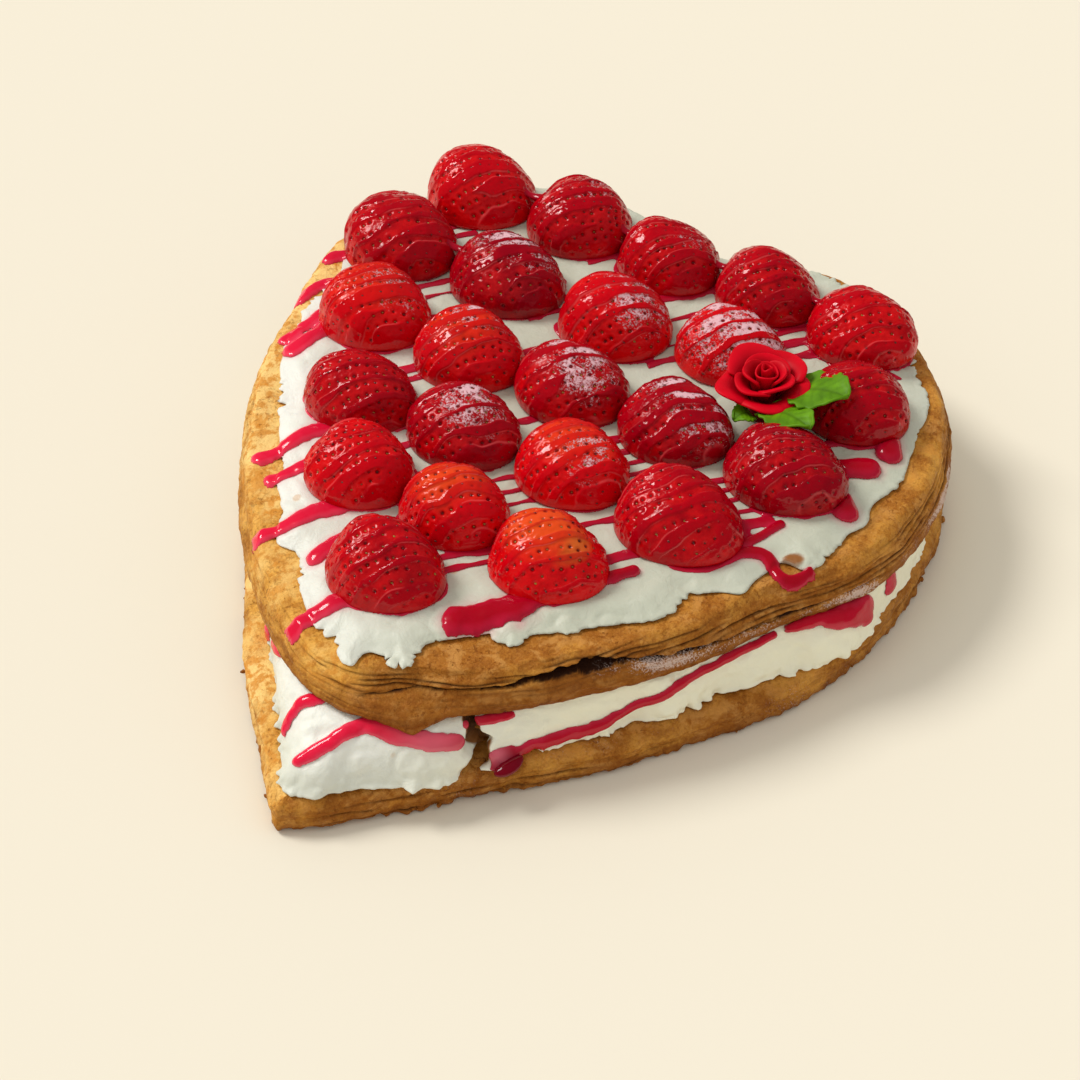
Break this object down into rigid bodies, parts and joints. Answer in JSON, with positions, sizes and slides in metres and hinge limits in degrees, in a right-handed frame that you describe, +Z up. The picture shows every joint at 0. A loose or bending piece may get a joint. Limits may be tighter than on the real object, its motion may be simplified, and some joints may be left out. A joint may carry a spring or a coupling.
{
  "type": "heart-shaped strudel",
  "caption": "Heart-shaped layered strudel: puff pastry and cream, with halved strawberries, trailed sauce and a sugar rose on top.",
  "frame": {"origin": "middle of the bounding box, on the floor that the lower pastry rests on", "axes": "+Z up; +Y from the point of the heart to its lobes; +X to the right seen with the point towards the viewer"},
  "size_m": [0.2505, 0.2947, 0.0679],
  "materials": {
    "pastry": "baked puff pastry, flaky and matt",
    "cream": "whipped cream, soft sheen; the fused runs are red strawberry sauce",
    "strawberry": "ripe strawberry under glossy sauce",
    "rose_paste": "red sugar paste, satin",
    "leaf_paste": "green sugar paste, satin"
  },
  "bodies": {
    "root": {"bottom_pastry": "pastry", "lower_cream": "cream", "top_pastry": "pastry", "top_cream": "cream", "strawberry_01": "strawberry", "strawberry_02": "strawberry", "strawberry_03": "strawberry", "strawberry_04": "strawberry", "strawberry_05": "strawberry", "strawberry_06": "strawberry", "strawberry_07": "strawberry", "strawberry_08": "strawberry", "strawberry_09": "strawberry", "strawberry_10": "strawberry", "strawberry_11": "strawberry", "strawberry_12": "strawberry", "strawberry_13": "strawberry", "strawberry_14": "strawberry", "strawberry_15": "strawberry", "strawberry_16": "strawberry", "strawberry_17": "strawberry", "strawberry_18": "strawberry", "strawberry_19": "strawberry", "strawberry_20": "strawberry", "strawberry_21": "strawberry", "strawberry_22": "strawberry", "strawberry_23": "strawberry", "rose": "rose_paste", "leaf_1": "leaf_paste", "leaf_2": "leaf_paste", "leaf_3": "leaf_paste"}
  },
  "joints": []
}
